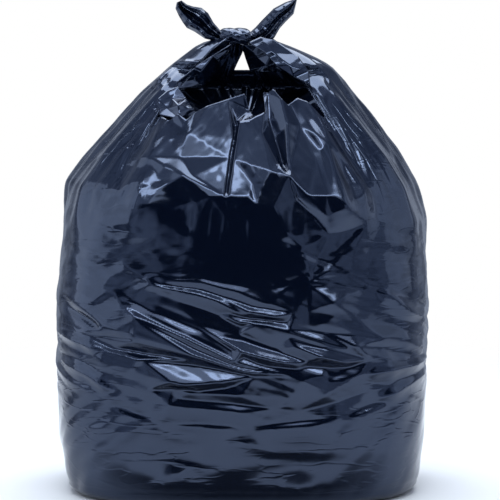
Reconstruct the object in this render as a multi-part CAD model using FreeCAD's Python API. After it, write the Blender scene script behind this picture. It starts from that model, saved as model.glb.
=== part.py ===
import FreeCAD, Part
import math
import os

# A filled bin bag, tied shut by the two gathered sides of its mouth.
# The film and what it holds are one closed solid of flat facets.
# X is to the right seen from the front, -Y is the front, Z is up.
# The origin is on the floor, under the middle of the bag. Lengths are in millimetres.

# Whole bag
bag_width = 560.0
bag_depth = 372.0
knot_height = 680.0
base_flat_share_of_depth = 0.80
station_rounding = 0.012

# Folds and pleats: a row of a table gives its own share of these
fold_depth = 13.0
fold_width = 17.0
pleat_depth = 13.0

# Mouth: a wide window in front and a small one behind, between the two gathered bands
front_window_half_angle = 62.0
back_window_half_angle = 20.0
window_edge_angle = 5.0
film_wall = 8.0
back_rim_share_of_height = 0.924
mouth_floor_share_of_height = 0.815
side_turn_share_of_height = 0.882
front_turn_share_of_height = 0.778

# Knot and ears
knot_width = 66.0
knot_thickness = 46.0
knot_rise = 36.0
knot_wrap_depth = 5.0
left_ear_length = 90.0
left_ear_width = 48.0
left_ear_tilt = 141.0
right_ear_length = 88.0
right_ear_width = 46.0
right_ear_tilt = 38.5
ear_thickness = 16.0
ear_groove_depth = 7.0

# How the girth changes going up. Each row is the height as a share of knot_height,
# then the reach to the left, right, front and back as shares of half the width or depth,
# then how square the section is: 2 is an ellipse and more is boxier.
STATIONS = [
    (0.000, 0.840, 0.820, base_flat_share_of_depth, base_flat_share_of_depth, 3.2),
    (0.006, 0.900, 0.885, 0.86, 0.86, 3.2),
    (0.035, 0.950, 0.945, 0.93, 0.93, 3.2),
    (0.120, 0.990, 0.975, 0.99, 0.99, 3.1),
    (0.300, 0.995, 0.995, 1.00, 1.00, 3.0),
    (0.440, 0.993, 0.993, 0.99, 1.00, 2.9),
    (0.600, 0.953, 0.970, 0.94, 0.95, 2.6),
    (0.680, 0.925, 0.900, 0.87, 0.86, 2.4),
    (0.740, 0.818, 0.818, 0.76, 0.74, 2.3),
    (0.807, 0.675, 0.696, 0.61, 0.58, 2.2),
    (0.875, 0.536, 0.579, 0.44, 0.41, 2.1),
    (0.931, 0.396, 0.479, 0.30, 0.28, 2.0),
    (0.953, 0.332, 0.396, 0.23, 0.22, 2.0),
    (0.987, 0.229, 0.207, 0.14, 0.14, 2.0),
    (1.000, 0.090, 0.090, 0.07, 0.07, 2.0),
]

# Folds seen from the front. Each row is where the fold starts and ends, across as a share of
# half the width and up as a share of knot_height, then how far it stands out as a share of
# fold_depth, and how wide it is above and below its crest as shares of fold_width.
# A negative depth is a valley.
FRONT_FOLDS = [
    # long folds across the belly
    ((-0.84, 0.353), (-0.28, 0.316), -1.0, 1.1, 1.0),
    ((-0.70, 0.436), (0.30, 0.278), 1.7, 1.7, 1.3),
    ((-0.46, 0.492), (0.05, 0.412), 1.3, 1.4, 1.2),
    ((-0.16, 0.385), (0.34, 0.330), 1.5, 1.2, 1.3),
    ((-0.08, 0.455), (0.28, 0.408), 1.2, 1.2, 1.2),
    ((-0.56, 0.318), (0.04, 0.250), 1.2, 1.3, 1.5),
    ((-0.68, 0.200), (0.21, 0.203), 0.6, 1.6, 1.2),
    ((-0.21, 0.240), (0.54, 0.228), -0.8, 1.1, 1.1),
    ((0.30, 0.338), (0.72, 0.286), 1.4, 1.2, 1.4),
    ((0.38, 0.392), (0.80, 0.348), 1.4, 1.2, 1.5),
    ((0.34, 0.478), (0.68, 0.452), 1.2, 1.3, 1.3),
    ((0.98, 0.285), (0.48, 0.240), 1.1, 1.2, 1.5),
    ((-0.21, 0.144), (0.39, 0.174), -0.4, 1.3, 1.6),
    ((0.43, 0.162), (0.75, 0.188), -0.5, 1.3, 1.3),
    # the lower edge of the crumpled upper panel, over the hollow
    ((-0.45, 0.566), (-0.20, 0.674), 1.3, 1.4, 1.6),
    ((-0.22, 0.670), (0.10, 0.692), 1.4, 1.5, 1.7),
    ((0.08, 0.694), (0.42, 0.550), 1.4, 1.5, 1.6),
    # crumples of the upper panel, under the front rim
    ((-0.50, 0.750), (-0.10, 0.662), 1.3, 1.3, 1.6),
    ((-0.03, 0.824), (-0.09, 0.662), -1.2, 1.0, 1.1),
    ((-0.28, 0.790), (-0.04, 0.860), 1.3, 1.4, 1.5),
    ((-0.52, 0.847), (-0.41, 0.801), -1.6, 1.5, 1.7),
    ((-0.48, 0.746), (-0.36, 0.824), 1.0, 1.1, 1.1),
    ((0.10, 0.846), (0.23, 0.709), -1.6, 1.3, 1.3),
    ((0.19, 0.860), (0.39, 0.735), 1.4, 1.3, 1.4),
    ((0.24, 0.720), (0.56, 0.640), 1.3, 1.2, 1.4),
    ((0.16, 0.718), (0.38, 0.618), -1.2, 1.1, 1.1),
    ((0.41, 0.838), (0.54, 0.641), -1.0, 1.1, 1.1),
    ((0.04, 0.838), (0.03, 0.706), 0.9, 1.6, 1.6),
]

# Dents of the front. Each row is the middle, across and up, and how far the dent reaches
# from it, across and up, as the same shares, then how deep it is as a share of fold_depth.
# A negative depth is a bulge.
FRONT_DENTS = [
    (0.00, 0.585, 0.52, 0.120, 2.2),
    (-0.64, 0.500, 0.26, 0.150, 0.6),
    (0.64, 0.520, 0.26, 0.150, 0.6),
    (-0.58, 0.650, 0.24, 0.090, -0.7),
    (0.58, 0.655, 0.24, 0.090, -0.7),
    (-0.36, 0.130, 0.34, 0.090, 0.5),
    (0.30, 0.100, 0.32, 0.080, 0.5),
]

# The same for the back. Across still points to the right seen from the front.
BACK_FOLDS = [
    ((-0.68, 0.368), (0.21, 0.309), -1.1, 1.1, 1.0),
    ((-0.43, 0.441), (0.54, 0.347), 1.1, 1.2, 1.0),
    ((-0.21, 0.485), (0.68, 0.426), -1.0, 1.0, 1.0),
    ((-0.71, 0.265), (0.04, 0.235), 0.9, 1.1, 1.0),
    ((0.07, 0.265), (0.75, 0.221), -1.0, 1.0, 1.0),
    ((-0.46, 0.765), (-0.07, 0.647), 1.2, 1.3, 1.4),
    ((0.43, 0.750), (0.07, 0.662), 1.2, 1.3, 1.4),
    ((-0.04, 0.691), (0.00, 0.882), -1.1, 1.1, 1.1),
    ((-0.54, 0.618), (0.54, 0.588), -1.0, 2.9, 2.9),
]

BACK_DENTS = [
    (-0.30, 0.540, 0.45, 0.130, 1.2),
    (0.36, 0.500, 0.40, 0.120, 1.0),
    (0.10, 0.160, 0.50, 0.100, 0.6),
]

# Crumples of the film inside the mouth. Each row is as for a fold of the front,
# but seen from above: across, and back as a share of half the depth.
MOUTH_FOLDS = [
    ((-0.50, 0.20), (-0.05, -0.35), 1.6, 1.7, 1.7),
    ((-0.10, 0.35), (0.08, -0.50), -1.4, 1.5, 1.5),
    ((0.08, -0.40), (0.48, 0.15), 1.5, 1.6, 1.6),
    ((0.12, 0.36), (0.50, 0.30), -1.0, 1.4, 1.4),
]

# Pleats fan from the knot down the sides. Each row is the direction round the bag in degrees,
# 0 to the right and 90 to the back, where the pleat ends and starts as shares of knot_height,
# how deep it is as a share of pleat_depth, and how wide it is in degrees.
PLEATS = [
    (-46, 0.56, 0.88, 0.7, 7),
    (-33, 0.60, 0.94, -0.9, 7),
    (-21, 0.53, 0.97, 1.0, 7),
    (-9, 0.56, 0.97, -0.9, 7),
    (3, 0.48, 0.97, 1.0, 7),
    (16, 0.56, 0.97, -0.9, 7),
    (29, 0.50, 0.97, 1.0, 7),
    (44, 0.60, 0.97, -0.9, 8),
    (60, 0.54, 0.96, 0.9, 8),
    (120, 0.56, 0.96, 0.9, 8),
    (136, 0.62, 0.97, -0.9, 8),
    (151, 0.50, 0.97, 1.0, 7),
    (164, 0.60, 0.97, -0.9, 7),
    (177, 0.54, 0.97, 1.0, 7),
    (189, 0.62, 0.97, -0.9, 7),
    (201, 0.55, 0.97, 1.0, 7),
    (213, 0.62, 0.94, -0.8, 7),
]

# The uneven top edge of the front, in degrees to the right of the front,
# with its height as a share of knot_height
FRONT_RIM = [
    (-54, 0.802),
    (-46, 0.838),
    (-36, 0.852),
    (-27, 0.838),
    (-16, 0.866),
    (-8, 0.858),
    (2, 0.874),
    (9, 0.856),
    (17, 0.876),
    (26, 0.870),
    (31, 0.852),
    (38, 0.866),
    (47, 0.846),
    (55, 0.832),
]

# Facets: how many columns there are round each part, and how many rows there are
# up to each share of knot_height
front_columns = 41
side_columns = 19
back_columns = 8
WALL_ROWS = [
    (0.22, 5),
    (0.50, 18),
    (0.64, 7),
    (0.79, 9),
]
# The rows lean with the long folds: how steeply, in front and behind, between which shares
front_lean = 0.31
back_lean = 0.19
LEAN = [
    (0.03, 0.0),
    (0.24, 1.0),
    (0.44, 1.0),
    (0.68, 0.0),
]
rim_rows = 6
inside_rows = 5
floor_rows = 6
knot_columns = 24
knot_rows = 12
ear_stations = 11

half_width = bag_width / 2
half_depth = bag_depth / 2
TURN = 360
HALF_TURN = 180
FRONT = 270.0
BACK = 90.0


def mix(a, b, t):
    return a + (b - a) * t


def between(rows, place):
    """The values of a table at a place between its rows, whose first value is their place."""
    if place <= rows[0][0]:
        return list(rows[0][1:])
    for low, high in zip(rows, rows[1:]):
        if place <= high[0]:
            t = (place - low[0]) / (high[0] - low[0])
            return [mix(a, b, t) for a, b in zip(low[1:], high[1:])]
    return list(rows[-1][1:])


def off_from(direction, middle):
    """How many degrees a direction is past a middle one, the short way round."""
    return (direction - middle + HALF_TURN) % TURN - HALF_TURN


def section_at(share):
    """The section at a share of knot_height, with the corners of the stations rounded off."""
    rows = [between(STATIONS, share + step * station_rounding) for step in (-1, 0, 0, 1)]
    return [sum(values) / len(values) for values in zip(*rows)]


def reach(direction, height):
    """How far the plain bag reaches from its axis, in a direction in degrees, at a height."""
    left, right, front, back, power = section_at(height / knot_height)
    across = math.cos(math.radians(direction))
    away = math.sin(math.radians(direction))
    a = half_width * (left if across < 0 else right)
    b = half_depth * (front if away < 0 else back)
    return (abs(across / a) ** power + abs(away / b) ** power) ** (-1 / power)


def ridge(x, y, fold, length_across, length_up):
    """How far a fold pushes out the point at (x, y). The fold tapers to nothing at its ends."""
    (start_across, start_up), (end_across, end_up), depth, above, below = fold
    x0 = start_across * length_across
    y0 = start_up * length_up
    dx = end_across * length_across - x0
    dy = end_up * length_up - y0
    length_squared = dx * dx + dy * dy
    t = ((x - x0) * dx + (y - y0) * dy) / length_squared
    if not 0.0 < t < 1.0:
        return 0.0
    off = ((y - y0) * dx - (x - x0) * dy) / math.sqrt(length_squared)
    if dx < 0:
        off = -off
    taper = math.sqrt(4 * t * (1 - t))
    width = fold_width * (above if off > 0 else below) * (0.4 + 0.6 * taper)
    crest = max(0.0, 1 - abs(off) / width)
    return depth * fold_depth * taper * crest * crest * (3 - 2 * crest)


def dent(x, height, row):
    """How far a dent pushes in the point at (x, height), as a negative length."""
    middle_across, middle_up, half_across, half_up, depth = row
    across = (x / half_width - middle_across) / half_across
    up = (height / knot_height - middle_up) / half_up
    return -depth * fold_depth * max(0.0, 1 - across * across - up * up) ** 2


def crumple(x, y, folds, length_across, length_up):
    """The highest ridge and the deepest valley of some folds at a point, together."""
    pushes = [0.0] + [ridge(x, y, fold, length_across, length_up) for fold in folds]
    return max(pushes) + min(pushes)


def pleat(direction, height, row):
    """How far a pleat pushes out the film in a direction, at a height."""
    middle, start, end, depth, width = row
    t = (height / knot_height - start) / (end - start)
    if not 0.0 < t < 1.0:
        return 0.0
    off = abs(off_from(direction, middle))
    grow = min(1.0, 3 * t) * min(1.0, 4 * (1 - t))
    narrow = reach(direction, height) / half_width
    return depth * pleat_depth * grow * (0.3 + 0.7 * narrow) * max(0.0, 1 - off / width)


def film_point(direction, height, inward=0.0):
    """A point of the folded film, or of its inner face when it is moved inward."""
    across = math.cos(math.radians(direction))
    away = math.sin(math.radians(direction))
    radius = reach(direction, height)
    folds = FRONT_FOLDS if away < 0 else BACK_FOLDS
    dents = FRONT_DENTS if away < 0 else BACK_DENTS
    x = radius * across
    push = abs(away) * crumple(x, height, folds, half_width, knot_height)
    push += abs(away) * sum(dent(x, height, row) for row in dents)
    push += sum(pleat(direction, height, row) for row in PLEATS)
    radius = max(radius + push - inward, film_wall / 4)
    return FreeCAD.Vector(radius * across, radius * away, height)


def window(direction, middle, half_angle):
    """1 inside a window of the mouth, 0 past its edge."""
    off = abs(off_from(direction, middle))
    return min(max((half_angle - off) / window_edge_angle, 0.0), 1.0)


def rim_height(direction):
    """Where the film ends in a direction: high on the two bands, low in the two windows."""
    front = window(direction, FRONT, front_window_half_angle)
    back = window(direction, BACK, back_window_half_angle)
    front_share = between(FRONT_RIM, off_from(direction, FRONT))[0]
    share = mix(1.0, front_share, front)
    return knot_height * mix(share, back_rim_share_of_height, back)


def turn_height(direction):
    """Where the inside of the mouth turns from the film's inner face towards its floor."""
    front = window(direction, FRONT, front_window_half_angle)
    return knot_height * mix(side_turn_share_of_height, front_turn_share_of_height, front)


def floor_point(edge, t):
    """A point of the crumpled film in the mouth: its edge at t = 0, and its middle at t = 1."""
    x = edge.x * (1 - t)
    y = edge.y * (1 - t)
    plain = mix(mouth_floor_share_of_height * knot_height, edge.z, (1 - t) ** 2)
    crumpled = crumple(x, y, MOUTH_FOLDS, half_width, half_depth)
    return FreeCAD.Vector(x, y, plain + crumpled * min(1.0, 3 * t))


def spread(start, end, count):
    """Evenly spaced directions from start up to end, without end."""
    return [start + (end - start) * i / count for i in range(count)]


def directions():
    """The columns of facets, with one on each edge of the two windows."""
    front_start = FRONT - front_window_half_angle
    front_end = FRONT + front_window_half_angle
    back_start = BACK - back_window_half_angle
    back_end = BACK + back_window_half_angle
    columns = spread(front_end - TURN, back_start, side_columns)
    columns += spread(back_start, back_end, back_columns)
    columns += spread(back_end, front_start, side_columns)
    columns += spread(front_start, front_end, front_columns)
    return columns


def wall_heights():
    """The rows of facets from the base to where the rim's own rows start."""
    shares = [row[0] for row in STATIONS[:3]]
    for end, count in WALL_ROWS:
        start = shares[-1]
        shares += [mix(start, end, (i + 1) / count) for i in range(count)]
    return [share * knot_height for share in shares]


def leaning(direction, height):
    """A row's height in a direction, where the rows lean with the long folds."""
    steep = mix(front_lean, back_lean, 0.5 + 0.5 * math.sin(math.radians(direction)))
    across = reach(direction, height) * math.cos(math.radians(direction))
    return height - steep * across * between(LEAN, height / knot_height)[0]


def outer_heights(direction):
    """The heights of a column's points on the outside, from the base to the rim."""
    walls = wall_heights()
    top = rim_height(direction)
    rims = [mix(walls[-1], top, (i + 1) / rim_rows) for i in range(rim_rows)]
    return [leaning(direction, height) for height in walls] + rims


def column(direction):
    """The points of one column, from the base up the film, over the rim and down inside."""
    points = [film_point(direction, height) for height in outer_heights(direction)]
    top = rim_height(direction)
    turn = turn_height(direction)
    for i in range(inside_rows):
        height = mix(top, turn, i / (inside_rows - 1))
        points.append(film_point(direction, height, film_wall))
    edge = points[-1]
    points += [floor_point(edge, i / floor_rows) for i in range(1, floor_rows)]
    return points


def facet(*points):
    """A flat face on three or more points."""
    return Part.Face(Part.makePolygon(list(points) + [points[0]]))


def quad(a, b, c, d, middle):
    """Two facets on four corners, split by the diagonal nearer to the middle, or the shorter one."""
    one = a.distanceToPoint(c)
    other = b.distanceToPoint(d)
    if middle is not None:
        one = middle.distanceToPoint((a + c) / 2)
        other = middle.distanceToPoint((b + d) / 2)
    if one <= other:
        return [facet(a, b, c), facet(a, c, d)]
    return [facet(a, b, d), facet(b, c, d)]


def closed_solid(columns, bottom, top, middles=()):
    """A solid on a closed ring of columns. Each end is a point, or None for one flat face.
    The middles are true points between the columns, where there are any."""
    faces = []
    count = len(columns)
    for i in range(count):
        here = columns[i]
        beside = columns[(i + 1) % count]
        for j in range(len(here) - 1):
            middle = middles[i][j] if middles and j < len(middles[i]) else None
            faces += quad(here[j], beside[j], beside[j + 1], here[j + 1], middle)
        if bottom is not None:
            faces.append(facet(bottom, beside[0], here[0]))
        if top is not None:
            faces.append(facet(top, here[-1], beside[-1]))
    if bottom is None:
        faces.append(facet(*[points[0] for points in columns]))
    if top is None:
        faces.append(facet(*[points[-1] for points in columns]))
    shell = Part.Compound(faces)
    shell.sewShape()
    solid = Part.makeSolid(Part.makeShell(shell.Faces))
    if solid.Volume < 0:
        solid.reverse()
    return solid


def filled_film():
    """The bag itself, from its flat base to the tops of the two bands."""
    around = directions()
    columns = [column(direction) for direction in around]
    middles = []
    for here, beside in zip(around, around[1:] + [around[0] + TURN]):
        between_them = (here + beside) / 2
        heights = [(a + b) / 2 for a, b in zip(outer_heights(here), outer_heights(beside))]
        middles.append(
            [film_point(between_them, (a + b) / 2) for a, b in zip(heights, heights[1:])]
        )
    floor_middle = floor_point(FreeCAD.Vector(0, 0, 0), 1.0)
    return closed_solid(columns, None, floor_middle, middles)


def knot():
    """The overhand knot: a squat lump with the wrap of one band slanting over it."""
    columns = []
    for i in range(knot_columns):
        turn = 2 * math.pi * i / knot_columns
        points = []
        for j in range(1, knot_rows):
            tilt = math.pi * j / knot_rows
            wrap = knot_wrap_depth * math.sin(3 * turn + 2.5 * math.cos(tilt))
            swell = 1 + wrap / knot_rise
            points.append(
                FreeCAD.Vector(
                    -knot_width / 2 * math.cos(tilt),
                    knot_thickness / 2 * math.sin(tilt) * math.cos(turn) * swell,
                    knot_height + knot_rise / 2 * math.sin(tilt) * math.sin(turn) * swell,
                )
            )
        columns.append(points)
    left = FreeCAD.Vector(-knot_width / 2, 0, knot_height)
    right = FreeCAD.Vector(knot_width / 2, 0, knot_height)
    return closed_solid(columns, left, right)


def ear(root, tilt, length, width, outline):
    """One ear: gathered film that opens from the knot into a leaf with a groove down it.
    The outline gives its half width along its length, as shares of half its width."""
    along = FreeCAD.Vector(math.cos(math.radians(tilt)), 0, math.sin(math.radians(tilt)))
    across = FreeCAD.Vector(-along.z, 0, along.x)
    front = FreeCAD.Vector(0, -1, 0)
    sections = []
    for i in range(ear_stations):
        t = i / (ear_stations - 1)
        half = width / 2 * outline(t)
        thick = ear_thickness / 2 * (1.15 - 0.6 * t)
        groove = ear_groove_depth * math.sin(math.pi * min(1.0, t + 0.1))
        shape = [
            (1.0, 0.0),
            (0.55, thick),
            (0.1, thick - groove),
            (-0.5, thick * 0.9),
            (-1.0, 0.2 * thick),
            (-0.45, -thick),
            (0.1, -thick * 0.5),
            (0.6, -thick * 0.9),
        ]
        middle = root + along * (length * t)
        sections.append([middle + across * (half * s) + front * d for s, d in shape])
    columns = [list(points) for points in zip(*sections)]
    return closed_solid(columns, None, None)


def left_outline(t):
    """Half width of the left ear: narrow at the knot, widest past its middle, rounded tip."""
    return 0.36 + 0.64 * math.sin(math.pi * min(1.0, 0.10 + 0.72 * t)) - 0.42 * t ** 6


def right_outline(t):
    """Half width of the right ear: it widens to its middle and narrows to a point."""
    return 0.34 + 0.66 * math.sin(math.pi * min(1.0, 0.12 + 0.66 * t)) - 0.75 * t ** 4


def ears():
    left_root = FreeCAD.Vector(-0.30 * knot_width, 0.08 * knot_thickness, knot_height)
    right_root = FreeCAD.Vector(0.16 * knot_width, 0.10 * knot_thickness, knot_height)
    return [
        ear(left_root, left_ear_tilt, left_ear_length, left_ear_width, left_outline),
        ear(right_root, right_ear_tilt, right_ear_length, right_ear_width, right_outline),
    ]


def tied_bag():
    """The whole bag, moved so that the middle of its base is over the origin."""
    bag = filled_film().fuse([knot()] + ears())
    box = bag.BoundBox
    bag.translate(FreeCAD.Vector(-box.Center.x, -box.Center.y, -box.ZMin))
    return bag


def main():
    os.makedirs("parts", exist_ok=True)
    bag = tied_bag()
    bag.exportStep("parts/tied_bag.step")
    print("solids", len(bag.Solids), "valid", bag.isValid(), "faces", len(bag.Faces))
    print("litres", round(bag.Volume / 1e6, 2), bag.BoundBox)


main()
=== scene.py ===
import math

import bmesh
import bpy
import numpy as np
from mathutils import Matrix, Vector
from mathutils.geometry import delaunay_2d_cdt

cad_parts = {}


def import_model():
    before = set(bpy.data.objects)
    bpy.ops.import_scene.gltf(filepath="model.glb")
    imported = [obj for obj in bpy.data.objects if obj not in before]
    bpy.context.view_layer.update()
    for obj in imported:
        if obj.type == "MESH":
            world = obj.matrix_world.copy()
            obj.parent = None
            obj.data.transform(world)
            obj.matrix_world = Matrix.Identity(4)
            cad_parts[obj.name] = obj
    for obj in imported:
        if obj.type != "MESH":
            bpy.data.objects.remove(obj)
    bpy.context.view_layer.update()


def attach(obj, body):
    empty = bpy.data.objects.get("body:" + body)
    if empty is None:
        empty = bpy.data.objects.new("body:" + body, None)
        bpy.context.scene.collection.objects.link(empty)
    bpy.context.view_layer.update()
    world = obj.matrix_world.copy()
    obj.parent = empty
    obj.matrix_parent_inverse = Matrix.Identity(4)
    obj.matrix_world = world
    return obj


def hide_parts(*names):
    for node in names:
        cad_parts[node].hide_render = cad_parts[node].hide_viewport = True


# A filled bin bag, tied shut by the gathered sides of its mouth. Lengths are in metres.
# The film is one sheet: up the outside, over the rim and down into the mouth.
# It is laid out by the bag's form and its folds, and then settled as film that can't stretch.

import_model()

MM = 0.001
HALF_WIDTH = 280 * MM
HALF_DEPTH = 186 * MM
KNOT_HEIGHT = 680 * MM
# Where the bag's upright axis stands in the frame
MIDDLE = np.array((-0.8 * MM, 4.2 * MM, 0))

# The plain bag without its folds, station by station: height as a share of the knot's, then
# reach to the left, right, front and back as shares of half the width or depth, and
# squareness: 2 is an ellipse and more is boxier
STATIONS = np.array([
    (0.000, 0.880, 0.860, 0.870, 0.850, 3.2),
    (0.006, 0.920, 0.910, 0.925, 0.900, 3.2),
    (0.035, 0.945, 0.940, 0.955, 0.935, 3.2),
    (0.120, 0.985, 0.972, 0.985, 0.985, 3.1),
    (0.240, 0.992, 0.987, 1.000, 0.995, 3.0),
    (0.300, 0.995, 0.995, 1.002, 1.000, 3.0),
    (0.440, 0.993, 0.993, 0.978, 1.000, 2.9),
    (0.600, 0.953, 0.970, 0.922, 0.950, 2.6),
    (0.680, 0.925, 0.900, 0.870, 0.860, 2.4),
    (0.740, 0.818, 0.818, 0.760, 0.740, 2.3),
    (0.807, 0.675, 0.696, 0.610, 0.580, 2.2),
    (0.875, 0.536, 0.579, 0.440, 0.410, 2.1),
    (0.931, 0.396, 0.479, 0.300, 0.280, 2.0),
    (0.953, 0.332, 0.396, 0.230, 0.220, 2.0),
    (0.987, 0.229, 0.207, 0.140, 0.140, 2.0),
    (1.000, 0.090, 0.090, 0.070, 0.070, 2.0),
])
# How far up and down the stations are blended, and where the foot is kept sharper, as shares
# of the knot's height
ROUNDING = 0.010
SHARP_FOOT = 0.02

# Long folds: where each starts and ends, across as a share of half the width and up as a
# share of the knot's height, then how far it stands out and how wide it is above and below
# its crest, as shares of these two. A negative depth is a valley.
FOLD_DEPTH = 13 * MM
FOLD_WIDTH = 15 * MM
FRONT_FOLDS = [
    ((-0.95, 0.440), (-0.76, 0.386), -1.1, 0.7, 0.5),
    ((-0.97, 0.310), (-0.68, 0.250), 1.0, 0.8, 1.1),
    ((-0.97, 0.372), (-0.74, 0.330), 0.9, 0.8, 0.9),
    ((0.72, 0.456), (0.96, 0.398), 0.9, 0.8, 1.0),
    ((0.66, 0.290), (0.98, 0.306), 1.1, 0.8, 1.2),
    ((0.70, 0.236), (0.97, 0.272), 0.9, 0.8, 1.2),
    ((-0.87, 0.165), (-0.22, 0.150), 0.15, 0.9, 1.2),
    ((-0.10, 0.135), (0.55, 0.120), 0.12, 0.9, 1.2),
    ((-0.30, 0.085), (0.30, 0.100), 0.10, 0.9, 1.2),
]
BACK_FOLDS = [
    ((-0.68, 0.368), (0.21, 0.309), -0.9, 1.1, 1.0),
    ((-0.43, 0.441), (0.54, 0.347), 0.9, 1.2, 0.9),
    ((-0.21, 0.485), (0.68, 0.426), -0.8, 1.0, 1.0),
    ((-0.71, 0.265), (0.04, 0.235), 0.7, 1.1, 1.0),
    ((0.07, 0.265), (0.75, 0.221), -0.8, 1.0, 1.0),
    ((-0.46, 0.765), (-0.07, 0.647), 1.0, 1.3, 1.4),
    ((0.43, 0.750), (0.07, 0.662), 1.0, 1.3, 1.4),
    ((-0.04, 0.691), (0.00, 0.882), -1.0, 1.1, 1.1),
]
# The rim in front, from left to right. Its corners, like those of all the creases below, are
# across, up from the floor and out from the plain bag, in millimetres.
FRONT_RIM = [
    (-138, 579, 0),
    (-123, 565, 6),
    (-105, 560, 2),
    (-94, 570, 8),
    (-82, 561, 3),
    (-69, 572, 2),
    (-51, 581, 8),
    (-22, 590, 10),
    (2, 598, 9),
    (9, 574, -7),
    (15, 566, -6),
    (31, 572, 9),
    (36, 598, -4),
    (45, 605, 2),
    (56, 592, 8),
    (66, 582, 3),
    (79, 592, 2),
    (94, 587, 4),
    (114, 571, 5),
    (127, 562, 0),
]
# The crumpled upper panel and the hollow under it, as lines of corners. The film is flat
# between them.
PANEL_CREASES = [
    FRONT_RIM[1:-1],
    # above the rim, where the film turns in
    [(-84, 640, 8), (-11, 650, 10), (82, 640, 2)],
    # the big facet on the left
    [(-105, 560, 2), (-108, 535, 3), (-135, 509, 7)],
    [(-108, 535, 3), (-78, 542, 6), (-15, 534, 4)],
    [(-94, 570, 8), (-78, 542, 6)],
    [(-135, 509, 7), (-85, 484, 9), (-27, 455, 6)],
    [(-108, 535, 3), (-90, 508, -1), (-74, 483, 3), (-27, 455, 6)],
    [(-78, 542, 6), (-90, 508, -1)],
    # the upright crease between it and the middle facet
    [(-15, 534, 4), (-20, 508, 2), (-27, 455, 6)],
    [(-10, 559, -2), (-11, 550, -8), (-17, 519, -7), (-24, 460, -3)],
    [(-5, 557, 5), (-12, 505, 3), (-20, 455, 5)],
    [(-22, 590, 10), (-15, 534, 4)],
    # the middle facet and the bright ridge on its right
    [(31, 572, 9), (28, 541, 9), (49, 502, 8), (67, 484, 11)],
    [(-5, 557, 5), (31, 572, 9)],
    [(49, 502, 8), (41, 490, 12), (14, 472, 4), (6, 453, 7)],
    # the dark cleft and its right lip
    [(36, 598, -4), (38, 561, -12), (48, 533, -13), (59, 496, -12)],
    [(56, 592, 8), (65, 557, 7), (68, 492, 6)],
    # the peak under the cleft
    [(41, 490, 12), (67, 484, 11), (78, 449, -1), (106, 422, -2)],
    [(41, 490, 12), (45, 441, 7)],
    [(41, 490, 12), (19, 443, 7)],
    # the right side of the panel
    [(79, 592, 2), (83, 553, -2), (124, 529, 7)],
    [(65, 557, 7), (83, 553, -2), (109, 519, -3), (128, 454, 9)],
    [(124, 529, 7), (147, 439, 8)],
    [(109, 519, -3), (68, 492, 6)],
    [(68, 492, 6), (96, 455, 9), (119, 426, 6)],
    [(67, 484, 11), (80, 451, 5), (119, 426, 6)],
    [(128, 454, 9), (147, 439, 8), (119, 426, 6)],
    # the panel's lower edge
    [(-85, 431, 1), (-67, 445, 4), (-48, 453, 6), (-27, 455, 6), (-20, 455, 5), (6, 453, 7)],
    [(6, 453, 7), (19, 443, 7), (45, 441, 7), (64, 402, 5), (86, 379, 2)],
    # the hollow
    [(-63, 428, 3), (-22, 430, 5), (9, 426, 5), (36, 412, 5), (54, 380, 2)],
    [(-77, 391, 1), (-34, 383, 2), (9, 376, 2), (54, 380, 2)],
    [(-56, 348, 0.5), (27, 336, 0.5)],
    # beside the hollow
    [(-155, 476, 3), (-117, 465, 1), (-92, 440, 2)],
    [(-155, 476, 3), (-136, 440, 2), (-109, 411, 0), (-85, 431, 1)],
    [(159, 497, 3), (148, 469, -3), (147, 439, 8)],
    [(125, 398, -4), (108, 359, -4)],
]
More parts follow.
